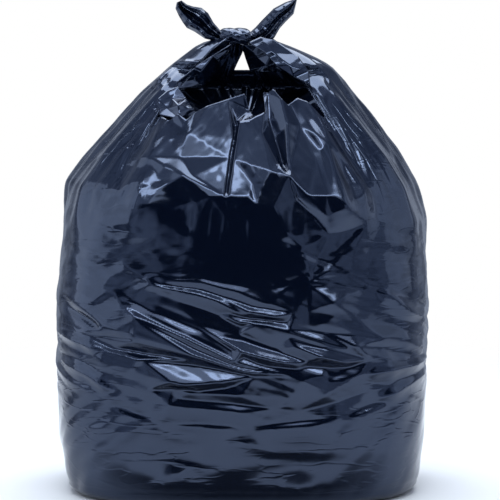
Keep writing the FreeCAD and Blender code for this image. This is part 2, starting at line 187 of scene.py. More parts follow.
# The belly under the hollow, in the same way
BELLY_CREASES = [
    # the arcs under the hollow
    [(-114, 332, 1), (-55, 329, 3), (-5, 316, 3), (38, 299, 3), (74, 286, 1)],
    [(-135, 326, 1), (-91, 319, 4), (-41, 305, 4), (2, 283, 2)],
    [(-120, 325, -1), (-55, 318, -2), (-17, 306, -2)],
    [(-149, 319, 0), (-94, 303, -4), (-37, 283, -5), (2, 266, -3)],
    [(-27, 305, 0), (9, 297, -1), (45, 291, -1), (74, 286, 1)],
    [(-27, 305, 0), (9, 288, 5), (45, 281, 5), (74, 286, 1)],
    [(-22, 285, -2), (18, 276, -3), (64, 272, -2)],
    # the long double ridge
    [(-179, 297, 1), (-153, 280, 5), (-77, 247, 7), (-12, 216, 6), (70, 195, 2)],
    [(-160, 288, 1), (-80, 252, 2), (-16, 221, 2)],
    [(-135, 268, 3), (-70, 235, 2), (-5, 209, 2)],
    [(-179, 297, 1), (-155, 276, 6), (-70, 225, 10), (4, 202, 8), (70, 195, 2)],
    [(-166, 303, -1), (-127, 286, -3), (-55, 258, -3), (-17, 234, -2)],
    # the dark spindles on the left
    [(-230, 250, 1), (-160, 243, 5), (-113, 233, 5), (-74, 218, 2)],
    [(-230, 250, 1), (-189, 232, -5), (-135, 224, -5), (-74, 218, 2)],
    [(-230, 250, 1), (-201, 228, 1), (-150, 217, 3), (-74, 218, 2)],
    [(-206, 261, 1), (-181, 257, 3), (-163, 246, 1)],
    # the lit lens
    [(-143, 215, 1), (-77, 211, -4), (-27, 203, -3), (19, 195, 2)],
    [(-143, 215, 1), (-106, 187, 9), (-86, 183, 10), (-34, 187, 6), (19, 195, 2)],
    [(-100, 176, 0), (-60, 173, 0), (-20, 178, 0)],
    # the brightest strip
    [(-42, 253, 1), (2, 245, -2), (53, 229, -2), (93, 215, 2)],
    [(-42, 253, 1), (-1, 231, 9), (57, 216, 9), (93, 215, 2)],
    [(-65, 268, -2), (-5, 255, -3), (47, 237, -2)],
    [(2, 222, 0), (27, 211, 0), (55, 208, 0)],
    # the sweep on the right
    [(-12, 273, 2), (19, 271, 3), (67, 261, 4), (117, 245, 4), (153, 234, 3), (183, 216, 2)],
    [(2, 261, 1), (67, 251, 3), (124, 234, 3), (183, 216, 2)],
    [(76, 239, 5), (113, 224, 12), (146, 216, 10), (183, 216, 2)],
    [(95, 208, -3), (122, 206, -4), (155, 206, -3)],
    # the lit corners on the right
    [(99, 261, -1), (119, 257, -1), (156, 254, 0), (202, 244, 1)],
    [(119, 257, -1), (166, 237, 10), (202, 244, 1)],
    [(99, 323, 1), (139, 322, 0), (185, 319, 0)],
    [(99, 323, 1), (133, 301, 10), (185, 319, 0)],
    [(96, 289, 0), (132, 281, 4), (175, 267, 1)],
    # under the ridges
    [(45, 209, 0), (81, 205, 0), (117, 196, 1)],
    [(55, 196, 0), (88, 190, 4), (124, 185, 1)],
    [(63, 151, 1), (120, 166, 3), (168, 195, 4), (214, 202, 2)],
    [(81, 143, -1), (139, 156, -2), (185, 173, -2)],
    [(-77, 170, 1), (-5, 167, 3), (67, 161, 1)],
    [(-91, 161, -2), (-19, 154, -2), (45, 147, -1)],
    [(-178, 167, 1), (-106, 152, 2), (-5, 143, 2)],
    [(-206, 208, 2), (-172, 187, 2), (-135, 174, 1)],
]
# Round the two creased stretches, where they run out into the plain bag
BELLY_OUTLINE = [
    (-189, 318, 0),
    (-135, 344, 0),
    (-63, 338, 0),
    (17, 322, 0),
    (81, 335, 0),
    (153, 341, 0),
    (214, 318, 0),
    (242, 263, 0),
    (240, 202, 0),
    (222, 150, 0),
    (139, 127, 0),
    (9, 115, 0),
    (-120, 121, 0),
    (-201, 144, 0),
    (-241, 185, 0),
    (-244, 248, 0),
    (-227, 292, 0),
]
PANEL_OUTLINE = [
    (-138, 579, 0),
    (-170, 550, 0),
    (-181, 503, 0),
    (-183, 453, 0),
    (-162, 411, 0),
    (-135, 368, 0),
    (-92, 326, 0),
    (-27, 311, 0),
    (38, 314, 0),
    (99, 326, 0),
    (147, 364, 0),
    (182, 410, 0),
    (188, 467, 0),
    (174, 518, 0),
    (149, 554, 0),
    (127, 562, 0),
    (130, 630, 0),
    (-140, 640, 0),
]
# How far the film is rounded over those creases, and how fast they rise inside the outlines
CREASE_ROUND = 1.2 * MM
OUTLINE_RISE = 4
# Corners nearer than this are one corner, and a triangle smaller than this is left out
SAME_CORNER = 1e-6
NO_AREA = 1e-9
# Dents: the middle, how far it reaches across and up, and its depth, as shares as for the
# folds. A negative one is a bulge.
FRONT_DENTS = [
    (-0.64, 0.500, 0.26, 0.150, 0.6),
    (0.64, 0.520, 0.26, 0.150, 0.6),
    (-0.58, 0.650, 0.24, 0.090, -0.7),
    (0.58, 0.655, 0.24, 0.090, -0.7),
    (-0.36, 0.130, 0.34, 0.090, 0.5),
    (0.30, 0.100, 0.32, 0.080, 0.5),
]
BACK_DENTS = [
    (-0.30, 0.540, 0.45, 0.130, 1.2),
    (0.36, 0.500, 0.40, 0.120, 1.0),
    (0.10, 0.160, 0.50, 0.100, 0.6),
]
# Pleats that fan from the knot: direction in degrees, lower and upper end as shares of the
# knot's height, depth as a share, and half width in degrees
PLEAT_DEPTH = 11 * MM
PLEATS = [
    (-46, 0.56, 0.88, 0.6, 5),
    (-33, 0.60, 0.94, -0.8, 5),
    (-21, 0.53, 0.97, 0.9, 5),
    (-9, 0.56, 0.97, -0.8, 5),
    (3, 0.48, 0.97, 0.9, 5),
    (16, 0.56, 0.97, -0.8, 6),
    (29, 0.50, 0.97, 0.9, 6),
    (44, 0.60, 0.97, -0.8, 7),
    (60, 0.54, 0.96, 0.8, 7),
    (120, 0.56, 0.96, 0.8, 7),
    (136, 0.62, 0.97, -0.8, 7),
    (151, 0.50, 0.97, 0.9, 6),
    (164, 0.60, 0.97, -0.8, 5),
    (177, 0.54, 0.97, 0.9, 5),
    (189, 0.62, 0.97, -0.8, 5),
    (201, 0.55, 0.97, 0.9, 5),
    (213, 0.62, 0.94, -0.7, 5),
]

# Small crumples, long flat facets: how far they stand out in millimetres, what share of that
# they lose where they face the front, their slant in degrees, their length and width in
# millimetres, and their seed
BELLY_CRUMPLES = [
    (10, 0.85, -14, 110, 24, 1),
    (5, 0.70, -12, 64, 14, 2),
    (1.6, 0.50, -18, 40, 9, 12),
]
BESIDE_CRUMPLES = [
    (5, 0, -16, 62, 17, 15),
    (2, 0, 24, 34, 11, 16),
]
PANEL_CRUMPLES = [
    (0.3, 0, 50, 46, 22, 3),
    (0.4, 0, -35, 24, 12, 4),
]
SHOULDER_CRUMPLES = [
    (8, 0, 90, 260, 24, 5),
    (4, 0, 89, 170, 10, 6),
]
FLANK_CRUMPLES = [
    (3.6, 0, 80, 150, 30, 9),
    (2.2, 0, 55, 60, 20, 10),
]
FOOT_CRUMPLES = [
    (3, 0, 78, 90, 22, 14),
]
# Where they lie: the middle and the reach up and down, as shares of the knot's height
BELLY_HEIGHT = (0.35, 0.20)
BESIDE_HEIGHT = (0.52, 0.14)
PANEL_HEIGHT = (0.76, 0.19)
SHOULDER_HEIGHT = (0.76, 0.26)
FOOT_HEIGHT = (0.00, 0.08)
# The seam along the foot: how far it stands out in millimetres, its height and its reach
SEAM_DEPTH = 2.5
SEAM_HEIGHT = (12 * MM, 6 * MM)
# Below this share of the knot's height the crumples fade away, so that the bag stands flat
SEAM_FADE = 0.025
# How far folds and crumples sway across and up from their straight lines, so that none looks
# ruled. Those that fan over the shoulders sway across only.
FOLD_SWAY = (9 * MM, 7 * MM)
CRUMPLE_SWAY = (12 * MM, 8 * MM)
FAN_SWAY = 5 * MM
# The small crumples are laid out round the bag as if it were a drum of this radius, and those
# of the fan as if a degree were so many millimetres
MEAN_REACH = 0.78 * HALF_WIDTH
FAN_PER_DEGREE = 3.2

# The mouth: windows in front and behind between the two gathered bands. Directions and angles
# are in degrees, seen from above, and heights without a unit are shares of the knot's.
FRONT = 270.0
BACK = 90.0
FRONT_WINDOW_HALF_ANGLE = 62.0
BACK_WINDOW_HALF_ANGLE = 20.0
WINDOW_EDGE_ANGLE = 4.0
BACK_RIM = 0.924
# Behind, the film's edges lean together up to the top of the gap, and stay apart beyond this
BACK_EDGE_FREE = 48.0
GAP_TOP = 660 * MM
# Where the film inside turns in to the mouth's floor, and the floor itself
SIDE_TURN = 0.882
FRONT_TURN = 0.778
MOUTH_FLOOR = 0.815
# From the outer film to the film inside it: at the rim, and lower down
RIM_WALL = 1.5 * MM
FILM_WALL = 4 * MM
# The film never comes nearer to the bag's axis than this
LEAST_RADIUS = 2 * MM

# Folds of the two bands that hang into the mouth: each is an outline and its inner corners,
# across, up from the floor and towards the back, in millimetres
MOUTH_FOLDS = [
    # the left band's inner side, turned to the light
    (
        [
            (-17, 670, -20),
            (-45, 653, -32),
            (-72, 635, -42),
            (-99, 614, -55),
            (-97, 604, -56),
            (-57, 609, -26),
            (-47, 626, -20),
            (-36, 643, -14),
            (-17, 664, -10),
        ],
        [(-62, 630, -44), (-72, 616, -36), (-38, 648, -30)],
    ),
    # the corner of the left band, over the end of the rim
    (
        [
            (-96, 608, -62),
            (-84, 592, -68),
            (-70, 574, -78),
            (-92, 562, -97),
            (-122, 568, -88),
            (-126, 590, -70),
            (-112, 602, -62),
        ],
        [(-95, 582, -92), (-104, 590, -70), (-110, 576, -78)],
    ),
    # the right band's front, in one long facet
    (
        [
            (8, 672, -22),
            (26, 680, -22),
            (46, 677, -26),
            (82, 652, -42),
            (98, 630, -54),
            (100, 610, -62),
            (76, 622, -62),
            (52, 637, -52),
            (32, 658, -38),
        ],
        [(42, 660, -40), (70, 638, -58)],
    ),
    # the crumpled film between the right band and the gap
    (
        [
            (1, 668, -4),
            (22, 668, -8),
            (40, 650, -14),
            (60, 628, -10),
            (34, 626, 14),
            (10, 629, 22),
            (5, 643, 16),
            (1, 656, 8),
        ],
        [(20, 650, -4), (12, 640, 6), (34, 638, -12), (24, 634, 2), (14, 658, -8)],
    ),
]

# Each flat facet of these leaves is cut in so many parts along an edge, and crumpled by so
# many millimetres
LEAF_PARTS = 10
LEAF_CRUMPLE = 3.0
LEAF_WALL = 1.2 * MM

# The knot: its middle across, half its width, its half depth and half height, how far its
# gathers turn as they wind over it, and how much it slopes down to the right
KNOT_ACROSS = -11 * MM
KNOT_HALF_WIDTH = 26 * MM
KNOT_THICKNESS = 18 * MM
KNOT_TALLNESS = 13 * MM
KNOT_WINDING = 4.6
KNOT_SLOPE = 0.10
KNOT_RINGS = 90
KNOT_COLUMNS = 160
# How much its big gathers, its fine ones and its lopsidedness stand out, as shares
KNOT_GATHER = 0.26
KNOT_FINE_GATHER = 0.05
KNOT_LOPSIDED = 0.12

# The ears' edges from the knot to the tip, across and up from the floor, in millimetres
LEFT_EAR_TOP = [
    (-16, 690), (-31, 686), (-44, 701), (-52, 715),
    (-62, 723), (-75, 725), (-84, 728), (-92, 734),
]
LEFT_EAR_BOTTOM = [
    (-20, 668), (-57, 677), (-72, 687), (-84, 693),
    (-90, 701), (-96, 711), (-101, 722), (-99, 731),
]
RIGHT_EAR_TOP = [
    (-4, 690), (10, 686), (19, 694), (29, 705),
    (46, 722), (63, 731), (80, 737),
]
RIGHT_EAR_BOTTOM = [
    (8, 668), (40, 672), (47, 678), (55, 692),
    (63, 701), (76, 714), (81, 735),
]
# Their grid, their thickness in the middle and at the edges, and how far their small crumples
# stand out, in millimetres
EAR_ROWS = 90
EAR_COLUMNS = 70
EAR_THICKNESS = 3.5 * MM
EAR_EDGE = 0.8 * MM
EAR_CRUMPLE = 4
# The ears' folds: share of the way from the lower edge to the upper one, and how far the film
# stands out to the front there, in millimetres, at the knot and at the tip
LEFT_EAR_FOLDS = [
    (0.00, 2, 0),
    (0.14, 8, 6),
    (0.30, 9, 9),
    (0.44, -2, -5),
    (0.52, 4, 1),
    (0.66, 10, 10),
    (0.78, 3, 2),
    (0.90, 7, 5),
    (1.00, 0, -2),
]
RIGHT_EAR_FOLDS = [
    (0.00, 1, -2),
    (0.10, 6, 3),
    (0.22, 1, 4),
    (0.34, 8, 6),
    (0.46, 2, 0),
    (0.58, 7, 9),
    (0.74, 9, 10),
    (0.90, 6, 6),
    (1.00, 0, -1),
]

# The grid of the film. Of its rows, some line the mouth inside and some are the mouth's floor,
# and its columns crowd towards the front by so many degrees.
COLUMNS = 320
ROWS = 297
INSIDE_ROWS = 20
FLOOR_ROWS = 24
FRONT_CROWDING = 28
# How the rows up the wall are spread: share of the rows, share of the knot's height
ROW_SPREAD = np.array([
    (0.00, 0.000),
    (0.10, 0.160),
    (0.54, 0.507),
    (0.66, 0.632),
])
# How the film settles: each level's stride over the grid, its steps, how stiff the film is
# against bending, and how firmly it is held to its form
LEVELS = (
    (4, 900, 0.160, 0.0004),
    (2, 400, 0.080, 0.0004),
    (1, 160, 0.060, 0.0004),
)
# How stiff the film is along a slant against up and round, how much further each step moves a
# point than its share, and what keeps a length off nothing
SLANT_STIFFNESS = 0.6
OVERSHOOT = 1.8
NO_LENGTH = 1e-9
SEED = 11
# The ripple that each level starts from, which the spare film grows into folds: its depth and
# its hills up and round on the full grid. A coarser level has a deeper ripple of fewer hills.
RIPPLE_DEPTH = 0.25 * MM
RIPPLE_HILLS = (480, 640)
# The knot holds the film from this share of its height up, and lets go over a short way below.
# The lowest rows are held too, the first of them fully.
FOOT_FREE = (0, 0.3, 0.6, 0.9)
HELD_SHARE = 0.985
HELD_FADE = 30 * MM
# How much longer the film is than the form it lies on, as shares: up the bag, and round it.
# It is uneven by so much, in so many hills up and round.
SPARE_UP = {"all": 0.002, "belly": 0.032, "panel": 0.012, "back": 0.010}
SPARE_ROUND = {"all": 0.003, "belly": 0.008, "panel": 0.012, "shoulder": 0.024, "foot": 0.012}
UNEVEN_SPARE = 0.6
SPARE_HILLS = (9, 14)
# Where the spare film is, as for the small crumples: the middle and the reach up and down
SPARE_BELLY = (0.36, 0.17)
SPARE_PANEL = (0.76, 0.16)
SPARE_SHOULDER = (0.78, 0.26)
SPARE_FOOT = (0.02, 0.08)

# The film's finish: its own colour, the tint of what it mirrors, its roughness where it is
# glossiest and haziest, how fine the haze is, and its finest wrinkles
FILM_COLOUR = (0.002, 0.004, 0.011, 1)
FILM_MIRROR_TINT = (0.55, 0.68, 1.0, 1)
GLOSSIEST = 0.08
HAZIEST = 0.18
HAZE_SCALE = 14
WRINKLE_HEIGHT = 0.14 * MM
WRINKLE_WIDTH = 0.035
GATHER_WIDTH = 0.04
# The gathers are that many times as high as a wrinkle, near the knot: a point, and how far
# from it they are in full and end
GATHER_STRENGTH = 4.0
KNOT_GATHERED = ((0, 0, 0.66), 0.24, 0.34)
# Where no fine wrinkles are: a point, and how far from it they start and are in full
BANDS_SMOOTH = ((0, -0.02, 0.65), 0.13, 0.20)
PANEL_SMOOTH = ((0, -0.16, 0.50), 0.13, 0.22)
BELLY_SMOOTH = ((0, -0.18, 0.27), 0.12, 0.24)

# The stage: the room that the film mirrors, the floor and the shadow painted on it as a dark strip in
# front of the bag, and the softboxes, each with its place, what it points at, its size and its
# brightness
ROOM_WALL = (0.56, 0.64, 0.80, 1)
ROOM_SHADOW = (0.16, 0.19, 0.26, 1)
ROOM_DARK = (0.004, 0.005, 0.008, 1)
FLOOR_SHADE = 0.90
# the darkest shade of the shadow painted on the floor in front of the bag
PAINTED_SHADOW_SHADE = 0.06
LIGHT_TINT = (0.88, 0.94, 1.0)
SOFTBOXES = [
    ("left_softbox", (-2.4, -0.7, 1.2), (0, 0, 0.35), (2.2, 2.4), 1.0),
    ("right_softbox", (2.4, -0.5, 1.2), (0, 0, 0.35), (2.0, 2.2), 0.5),
    ("top_softbox", (0, 0.6, 2.5), (0, 0, 0.3), (2.4, 1.8), 5.0),
    ("front_softbox", (0.1, -1.9, 2.2), (0, 0, 0.3), (2.2, 1.1), 1.5),
    ("strip_light", (0.0, -1.7, 2.3), (0, 0, 0.3), (2.8, 0.25), 7.0),
]


def smooth(t):
    """From 0 to 1 with soft ends."""
    t = np.clip(t, 0, 1)
    return t * t * (3 - 2 * t)


def bump_at(value, middle, half):
    """1 at the middle of a stretch, and 0 at its ends and beyond."""
    return smooth(1 - np.abs(value - middle) / half)


def off_from(direction, middle):
    """Degrees from one direction round to another, from -180 to 180."""
    return (direction - middle + 180) % 360 - 180


def section(share):
    """The plain bag's reach each way and its squareness at a height, blended from stations."""
    blend = ROUNDING * np.clip(share / SHARP_FOOT, 0.1, 1)
    steps = (-1, 0, 0, 1)
    rows = 0
    for step in steps:
        at = share + step * blend
        rows = rows + np.stack([np.interp(at, STATIONS[:, 0], s) for s in STATIONS[:, 1:].T])
    return rows / len(steps)


def reach(direction, height):
    """How far the plain bag reaches from its axis, in each direction, at each height."""
    left, right, front, back, power = section(height / KNOT_HEIGHT)
    across = np.cos(np.radians(direction))
    away = np.sin(np.radians(direction))
    wide = HALF_WIDTH * np.where(across < 0, left, right)
    deep = HALF_DEPTH * np.where(away < 0, front, back)
    return (np.abs(across / wide) ** power + np.abs(away / deep) ** power) ** (-1 / power)


def crumple(x, z, folds):
    """The highest ridge and the deepest valley at each point, together."""
    high = np.zeros_like(x)
    low = np.zeros_like(x)
    for (x0, z0), (x1, z1), depth, above, below in folds:
        x0, x1 = x0 * HALF_WIDTH, x1 * HALF_WIDTH
        z0, z1 = z0 * KNOT_HEIGHT, z1 * KNOT_HEIGHT
        dx, dz = x1 - x0, z1 - z0
        t = ((x - x0) * dx + (z - z0) * dz) / (dx * dx + dz * dz)
        off = ((z - z0) * dx - (x - x0) * dz) / math.hypot(dx, dz)
        off = off if dx > 0 else -off
        # a fold is lowest and narrowest at its two ends, and its crest is a little rounded
        taper = np.sqrt(np.clip(4 * t * (1 - t), 0, 1))
        width = np.where(off > 0, above, below) * FOLD_WIDTH * (0.4 + 0.6 * taper)
        crest = np.clip(1 - np.abs(off) / width, 0, 1)
        push = depth * FOLD_DEPTH * taper * (0.6 * crest + 0.4 * crest * crest)
        high = np.maximum(high, push)
        low = np.minimum(low, push)
    return high + low


def front_depth(x, height):
    """How far the plain bag reaches to the front of its axis, at a place seen from the front."""
    left, right, front, _, power = section(height / KNOT_HEIGHT)
    share = np.abs(x) / (HALF_WIDTH * np.where(x < 0, left, right))
    return HALF_DEPTH * front * (1 - np.clip(share, 0, 0.995) ** power) ** (1 / power)


def folded_sheet(lines, outline):
    """The corners of a crumpled stretch of film, and the triangles between its creases."""
    number = {}
    creases = []
    for line in lines + [outline + outline[:1]]:
        steps = [number.setdefault(corner, len(number)) for corner in line]
        creases += list(zip(steps, steps[1:]))
    corners = np.array(list(number)) * MM
    inner = np.array([0.0 if corner in outline else 1.0 for corner in number])
    flat = [Vector(corner[:2]) for corner in corners]
    _, _, triangles, kept, _, _ = delaunay_2d_cdt(flat, creases, [], 0, SAME_CORNER)
    origin = [found[0] for found in kept]
    depth = front_depth(corners[:, 0], corners[:, 1]) + corners[:, 2]
    return corners[:, :2], depth, inner, [[origin[i] for i in t] for t in triangles]


def sheet_push(x, z, lines, outline):
    """How far a crumpled stretch of film stands out from the plain bag."""
    corners, depth, inner, triangles = folded_sheet(lines, outline)
    steps = [(0, 0), (CREASE_ROUND, 0), (-CREASE_ROUND, 0), (0, CREASE_ROUND), (0, -CREASE_ROUND)]
    total = np.zeros_like(x)
    for step_x, step_z in steps:
        px, pz = x + step_x, z + step_z
        out = np.zeros_like(x)
        plain = front_depth(px, pz)
        for a, b, c in triangles:
            (ax, az), (bx, bz), (cx, cz) = corners[a], corners[b], corners[c]
            area = (bx - ax) * (cz - az) - (cx - ax) * (bz - az)
            if abs(area) < NO_AREA:
                continue
            u = ((px - ax) * (cz - az) - (cx - ax) * (pz - az)) / area
            v = ((bx - ax) * (pz - az) - (px - ax) * (bz - az)) / area
            inside = (u >= 0) & (v >= 0) & (u + v <= 1)
            flat = depth[a] + u * (depth[b] - depth[a]) + v * (depth[c] - depth[a])
            share = inner[a] + u * (inner[b] - inner[a]) + v * (inner[c] - inner[a])
            rise = np.clip(OUTLINE_RISE * share, 0, 1)
            out = np.where(inside, (flat - plain) * rise, out)
        total += out / len(steps)
    return total


def dents(x, z, rows):
    """How far the round dents and bulges push the film out."""
    push = 0
    for middle_across, middle_up, half_across, half_up, depth in rows:
        across = (x / HALF_WIDTH - middle_across) / half_across
        up = (z / KNOT_HEIGHT - middle_up) / half_up
        push = push - depth * FOLD_DEPTH * np.clip(1 - across ** 2 - up ** 2, 0, 1) ** 2
    return push


def pleats(direction, height, radius):
    """How far the pleats push the film out. They are shallower near the knot and at their ends."""
    push = 0
    for middle, start, end, depth, width in PLEATS:
        t = (height / KNOT_HEIGHT - start) / (end - start)
        grow = np.clip(3 * t, 0, 1) * np.clip(4 * (1 - t), 0, 1)
        off = np.abs(off_from(direction, middle))
        narrow = 0.3 + 0.7 * radius / HALF_WIDTH
        push = push + depth * PLEAT_DEPTH * grow * narrow * np.clip(1 - off / width, 0, 1)
    return push


def chance(i, j, seed):
    """A random number from 0 to 1 for each corner of a grid, the same every time."""
    mixed = np.sin(i * 127.1 + j * 311.7 + seed * 74.7) * 43758.5453
    return mixed - np.floor(mixed)


def drift(x, y, size, seed):
    """A smooth random field from -1 to 1 with hills of one size."""
    i, j = np.floor(x / size), np.floor(y / size)
    u, v = smooth(x / size - i), smooth(y / size - j)
    low = chance(i, j, seed) * (1 - u) + chance(i + 1, j, seed) * u
    high = chance(i, j + 1, seed) * (1 - u) + chance(i + 1, j + 1, seed) * u
    return 2 * (low * (1 - v) + high * v) - 1


def facets(x, y, tilt, length, width, seed):
    """Film crumpled into long flat three-sided facets: -0.5 to 0.5, drawn out in one direction."""
    turn = np.radians(tilt)
    along = (x * np.cos(turn) + y * np.sin(turn)) / length
    up = (y * np.cos(turn) - x * np.sin(turn)) / width
    # each row of cells is set off by half a cell, and each cell is two triangles
    along = along + 0.5 * up
    i, j = np.floor(along), np.floor(up)
    u, v = along - i, up - j
    low = chance(i, j, seed)
    far = chance(i + 1, j, seed)
    high = chance(i, j + 1, seed)
    corner = chance(i + 1, j + 1, seed)
    first = low + u * (far - low) + v * (high - low)
    second = corner + (1 - u) * (high - corner) + (1 - v) * (far - corner)
    return np.where(u + v < 1, first, second) - 0.5


def crumples(x, z, facing, rows):
    """How far some rows of small crumples push the film out, in millimetres."""
    push = 0
    for depth, calm, tilt, length, width, seed in rows:
        shape = facets(x, z, tilt, length * MM, width * MM, seed)
        push = push + (1 - calm * facing) * depth * shape
    return push


def creases(direction, height, radius):
    """The small crumples: across the belly, down the shoulders and all over the upper panel."""
    share = height / KNOT_HEIGHT
    facing = np.clip(-np.sin(np.radians(direction)), 0, 1)
    across = radius * np.cos(np.radians(direction)) / HALF_WIDTH
    round_way = np.radians(off_from(direction, FRONT)) * MEAN_REACH
    x = round_way + CRUMPLE_SWAY[0] * drift(round_way, height, size=110 * MM, seed=3)
    z = height + CRUMPLE_SWAY[1] * drift(round_way, height, size=120 * MM, seed=5)
    fan = off_from(direction, FRONT) * MM * FAN_PER_DEGREE
    fan = fan + FAN_SWAY * drift(round_way, height, size=90 * MM, seed=8)
    belly = bump_at(share, *BELLY_HEIGHT) * (0.6 + 0.4 * facing)
    beside = bump_at(share, *BESIDE_HEIGHT) * facing * (1 - bump_at(across, 0, 0.42))
    panel = smooth(3 * bump_at(share, *PANEL_HEIGHT) * facing * bump_at(across, 0, 0.70))
    shoulder = bump_at(share, *SHOULDER_HEIGHT) * (0.25 + 0.75 * radius / HALF_WIDTH)
    middle = facing * smooth(2 * bump_at(across, 0, 0.65))
    push = crumples(x, height, facing, FOOT_CRUMPLES) * bump_at(share, *FOOT_HEIGHT)
    push = push + SEAM_DEPTH * bump_at(height, *SEAM_HEIGHT)
    push = push + belly * crumples(x, z, facing, BELLY_CRUMPLES)
    push = push + panel * crumples(x, z, facing, PANEL_CRUMPLES)
    push = push + beside * crumples(x, z, facing, BESIDE_CRUMPLES)
    push = push + shoulder * (1 - panel) * crumples(fan, height, facing, SHOULDER_CRUMPLES)
    push = push + (1 - belly) * (1 - middle) * crumples(x, z, facing, FLANK_CRUMPLES)
    return push * MM * smooth(share / SEAM_FADE)


def drawn_shut(direction, height):
    """The back film's edges lean together over its rim, and meet under the knot."""
    start, end = BACK_RIM * KNOT_HEIGHT, GAP_TOP
    off = off_from(direction, BACK)
    close = np.clip((height - start) / (end - start), 0, 1)
    side = np.clip((BACK_EDGE_FREE - np.abs(off)) / (BACK_EDGE_FREE - BACK_WINDOW_HALF_ANGLE), 0, 1)
    return direction - np.sign(off) * BACK_WINDOW_HALF_ANGLE * close * side


def film_points(direction, height, inward=0.0):
    """Where the film lies before it settles: the plain bag, pushed out and in by its folds."""
    direction = drawn_shut(direction, height)
    radius = reach(direction, height)
    across = np.cos(np.radians(direction))
    away = np.sin(np.radians(direction))
    plain_x = radius * across
    x = plain_x + FOLD_SWAY[0] * drift(plain_x, height, size=55 * MM, seed=21)
    z = height + FOLD_SWAY[1] * drift(plain_x, height, size=45 * MM, seed=22)
    front = crumple(x, z, FRONT_FOLDS) + dents(x, z, FRONT_DENTS)
    back = crumple(x, z, BACK_FOLDS) + dents(x, z, BACK_DENTS)
    push = np.where(away < 0, front, back) * np.abs(away) + pleats(direction, height, radius)
    push = push + creases(direction, height, radius)
    sheets = sheet_push(plain_x, height, PANEL_CREASES, PANEL_OUTLINE)
    sheets = sheets + sheet_push(plain_x, height, BELLY_CREASES, BELLY_OUTLINE)
    radius = np.maximum(radius + push - inward, LEAST_RADIUS)
    return np.stack((radius * across, radius * away - np.where(away < 0, sheets, 0), height), axis=-1)


def window(direction, middle, half_angle):
    """1 in a window of the mouth, and 0 beside it."""
    return np.clip((half_angle - np.abs(off_from(direction, middle))) / WINDOW_EDGE_ANGLE, 0, 1)


def rim_height(direction):
    """How high the film's edge is in each direction: up to the knot beside the two windows."""
    front = smooth(window(direction, FRONT, FRONT_WINDOW_HALF_ANGLE))
    back = smooth(window(direction, BACK, BACK_WINDOW_HALF_ANGLE))
    rim = np.array(FRONT_RIM) * MM
    height = np.full(direction.shape, rim[:, 1].mean())
    # the rim's line is given by places across, which depend on its height
    for _ in range(5):
        across = reach(direction, height) * np.cos(np.radians(direction))
        height = np.interp(across, rim[:, 0], rim[:, 1])
    height = KNOT_HEIGHT + (height - KNOT_HEIGHT) * front
    return height + (BACK_RIM * KNOT_HEIGHT - height) * back


def wall_heights(top):
    """The heights of the outer film's rows, from the floor up to its edge."""
    t = np.linspace(0, 1, ROWS - INSIDE_ROWS - FLOOR_ROWS)[:, None]
    low_rows, low = ROW_SPREAD[-1]
    low = low * KNOT_HEIGHT
    return np.where(
        t < low_rows,
        np.interp(t, ROW_SPREAD[:, 0], ROW_SPREAD[:, 1]) * KNOT_HEIGHT,
        low + (top[None] - low) * (t - low_rows) / (1 - low_rows),
    )


def film_layout():
    """The film's directions and points. Its rows go up outside, over the rim, down inside and
    across the mouth's floor."""
    even = np.arange(COLUMNS) / COLUMNS - 0.5
    direction = (FRONT + 360 * even - FRONT_CROWDING * np.sin(2 * np.pi * even)) % 360
    top = rim_height(direction)
    height = wall_heights(top)
    wall = film_points(np.broadcast_to(direction, height.shape), height)
    front = smooth(window(direction, FRONT, FRONT_WINDOW_HALF_ANGLE))
    turn = KNOT_HEIGHT * (SIDE_TURN + (FRONT_TURN - SIDE_TURN) * front)
    u = np.linspace(0, 1, INSIDE_ROWS)[:, None]
    inner_height = top[None] + (turn - top)[None] * u
    deeper = RIM_WALL + (FILM_WALL - RIM_WALL) * smooth(3 * u)
    inside = film_points(np.broadcast_to(direction, inner_height.shape), inner_height, deeper)
    v = (np.arange(1, FLOOR_ROWS + 1) / (FLOOR_ROWS + 1))[:, None, None]
    floor_rows = inside[-1][None] * (1 - v)
    middle = MOUTH_FLOOR * KNOT_HEIGHT
    floor_rows[..., 2] = middle + (turn[None] - middle) * (1 - v[..., 0]) ** 2
    points = np.concatenate((wall, inside, floor_rows)).astype(np.float32)
    return np.broadcast_to(direction, points.shape[:2]), points


def hills(rng, shape, rows, columns):
    """A smooth random field from -1 to 1 on the grid, with so many hills each way."""
    field = rng.uniform(-1, 1, (rows + 2, columns))
    r = np.linspace(0, rows, shape[0])
    c = np.arange(shape[1]) * columns / shape[1]
    i, j = r.astype(int), c.astype(int)
    u, v = smooth(r - i)[:, None], smooth(c - j)[None]
    beside = (j + 1) % columns
    low = field[i][:, j] * (1 - v) + field[i][:, beside] * v
    high = field[i + 1][:, j] * (1 - v) + field[i + 1][:, beside] * v
    return low * (1 - u) + high * u


def slack(direction, points, rng):
    """How much longer the film is than the form it lies on: round the bag, and up it."""
    share = points[..., 2] / KNOT_HEIGHT
    across = points[..., 0] / HALF_WIDTH
    facing = np.clip(-np.sin(np.radians(direction)), 0, 1)
    away = np.clip(np.sin(np.radians(direction)), 0, 1)
    uneven = 1 + UNEVEN_SPARE * hills(rng, share.shape, *SPARE_HILLS)
    belly = bump_at(share, *SPARE_BELLY) * (0.3 + 0.7 * facing)
    panel = bump_at(share, *SPARE_PANEL) * facing * bump_at(across, 0, 0.75)
    shoulder = bump_at(share, *SPARE_SHOULDER)
    foot = bump_at(share, *SPARE_FOOT)
    up = SPARE_UP["belly"] * belly + SPARE_UP["panel"] * panel
    up = up + SPARE_UP["back"] * shoulder * away
    around = SPARE_ROUND["belly"] * belly + SPARE_ROUND["panel"] * panel
    around = around + SPARE_ROUND["shoulder"] * shoulder + SPARE_ROUND["foot"] * foot
    up = SPARE_UP["all"] + uneven * up
    around = SPARE_ROUND["all"] + uneven * around
    return around.astype(np.float32), up.astype(np.float32)


